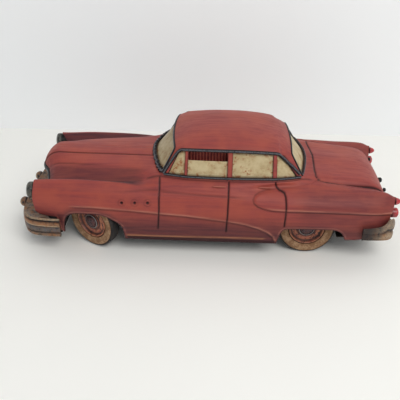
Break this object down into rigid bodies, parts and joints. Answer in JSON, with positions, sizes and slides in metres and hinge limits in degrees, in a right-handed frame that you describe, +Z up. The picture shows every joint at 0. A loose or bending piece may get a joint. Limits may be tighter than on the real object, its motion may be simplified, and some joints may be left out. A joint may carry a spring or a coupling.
{
  "type": "friction tin car",
  "caption": "Four-door saloon toy car with a pressed body, flywheel friction motor geared to the rear axle and linked steering front wheels.",
  "frame": {"origin": "middle of the overall length and width, on the ground under the wheels", "axes": "front of the car at -X, left side of the car at -Y, +Z up"},
  "size_m": [0.2838, 0.1086, 0.0888],
  "materials": {
    "body_paint": "weathered oil-based red-brown paint, satin",
    "window_cream": "opaque cream paint with rust staining",
    "dull_plate": "aged tarnished plating",
    "dark_trim": "darkened silver trim",
    "tyre_rubber": "dark rubber with aged tan sidewall band",
    "wheel_paint": "red paint with rust",
    "lamp_red": "red lamp",
    "lamp_clear": "grey lamp face",
    "seat_red": "dark red ribbed sheet",
    "motor_steel": "plain steel",
    "gear_brass": "plain brass",
    "chassis_tin": "dark tinplate"
  },
  "bodies": {
    "body": {"beam_bracket": "chassis_tin", "body_shell": "body_paint", "boot_handle": "dark_trim", "boot_stud_left": "dark_trim", "boot_stud_right": "dark_trim", "bumper_guard_left": "dull_plate", "bumper_guard_right": "dull_plate", "cabin_lining": "seat_red", "chassis_plate": "chassis_tin", "door_handle_front_left": "body_paint", "door_handle_front_right": "body_paint", "door_handle_rear_left": "body_paint", "door_handle_rear_right": "body_paint", "drip_rail_left": "dark_trim", "drip_rail_right": "dark_trim", "front_beam": "chassis_tin", "front_bumper": "dull_plate", "front_panel": "dark_trim", "grille": "dull_plate", "headlamp_bezel_left": "dark_trim", "headlamp_bezel_right": "dark_trim", "headlamp_lens_left": "lamp_clear", "headlamp_lens_right": "lamp_clear", "motor_side_left": "motor_steel", "motor_side_right": "motor_steel", "rear_bumper": "dull_plate", "rear_panel": "body_paint", "rear_window": "window_cream", "side_glazing_left": "window_cream", "side_glazing_right": "window_cream", "sill_trim_left": "dark_trim", "sill_trim_right": "dark_trim", "tail_lamp_lower_left": "lamp_red", "tail_lamp_lower_right": "lamp_red", "tail_lamp_upper_left": "lamp_red", "tail_lamp_upper_right": "lamp_red", "windscreen": "window_cream"},
    "rear_axle_set": {"rear_axle": "motor_steel", "drive_gear": "gear_brass", "rear_left_tyre": "tyre_rubber", "rear_left_disc": "wheel_paint", "rear_left_hubcap": "dull_plate", "rear_right_tyre": "tyre_rubber", "rear_right_disc": "wheel_paint", "rear_right_hubcap": "dull_plate"},
    "counter_set": {"counter_shaft": "motor_steel", "counter_pinion": "gear_brass", "counter_gear": "gear_brass"},
    "flywheel_set": {"flywheel_shaft": "motor_steel", "flywheel_pinion": "gear_brass", "flywheel": "motor_steel"},
    "left_knuckle": {"knuckle_left": "motor_steel"},
    "right_knuckle": {"knuckle_right": "motor_steel"},
    "tie_rod_link": {"tie_rod": "motor_steel"},
    "front_left_wheel": {"front_left_tyre": "tyre_rubber", "front_left_disc": "wheel_paint", "front_left_hubcap": "dull_plate"},
    "front_right_wheel": {"front_right_tyre": "tyre_rubber", "front_right_disc": "wheel_paint", "front_right_hubcap": "dull_plate"}
  },
  "joints": [
    {"name": "rear_axle_spin", "type": "hinge", "parent": "body", "child": "rear_axle_set", "pos_m": [0.0778, 0, 0.0208], "axis": [0, 1, 0], "continuous": true},
    {"name": "counter_spin", "type": "hinge", "parent": "body", "child": "counter_set", "pos_m": [0.06325, 0, 0.0292], "axis": [0, 1, 0], "continuous": true},
    {"name": "flywheel_spin", "type": "hinge", "parent": "body", "child": "flywheel_set", "pos_m": [0.04718, 0, 0.03411], "axis": [0, 1, 0], "continuous": true},
    {"name": "left_steer", "type": "hinge", "parent": "body", "child": "left_knuckle", "pos_m": [-0.0782, -0.0326, 0.0208], "axis": [0, 0, 1], "range_deg": [-3, 63]},
    {"name": "right_steer", "type": "hinge", "parent": "body", "child": "right_knuckle", "pos_m": [-0.0782, 0.0326, 0.0208], "axis": [0, 0, 1], "range_deg": [-3, 63]},
    {"name": "tie_rod_swing", "type": "hinge", "parent": "left_knuckle", "child": "tie_rod_link", "pos_m": [-0.06997, -0.03735, 0.0174], "axis": [0, 0, 1], "range_deg": [-63, 3]},
    {"name": "front_left_spin", "type": "hinge", "parent": "left_knuckle", "child": "front_left_wheel", "pos_m": [-0.0812, -0.0378, 0.0208], "axis": [0.5, 0.866, 0], "continuous": true},
    {"name": "front_right_spin", "type": "hinge", "parent": "right_knuckle", "child": "front_right_wheel", "pos_m": [-0.0752, 0.0378, 0.0208], "axis": [0.5, 0.866, 0], "continuous": true}
  ],
  "couplings": [
    {"joint": "counter_spin", "follows": "rear_axle_spin", "ratio": -3.2},
    {"joint": "flywheel_spin", "follows": "rear_axle_spin", "ratio": 10.24},
    {"joint": "right_steer", "follows": "left_steer", "ratio": 1},
    {"joint": "tie_rod_swing", "follows": "left_steer", "ratio": -1}
  ]
}
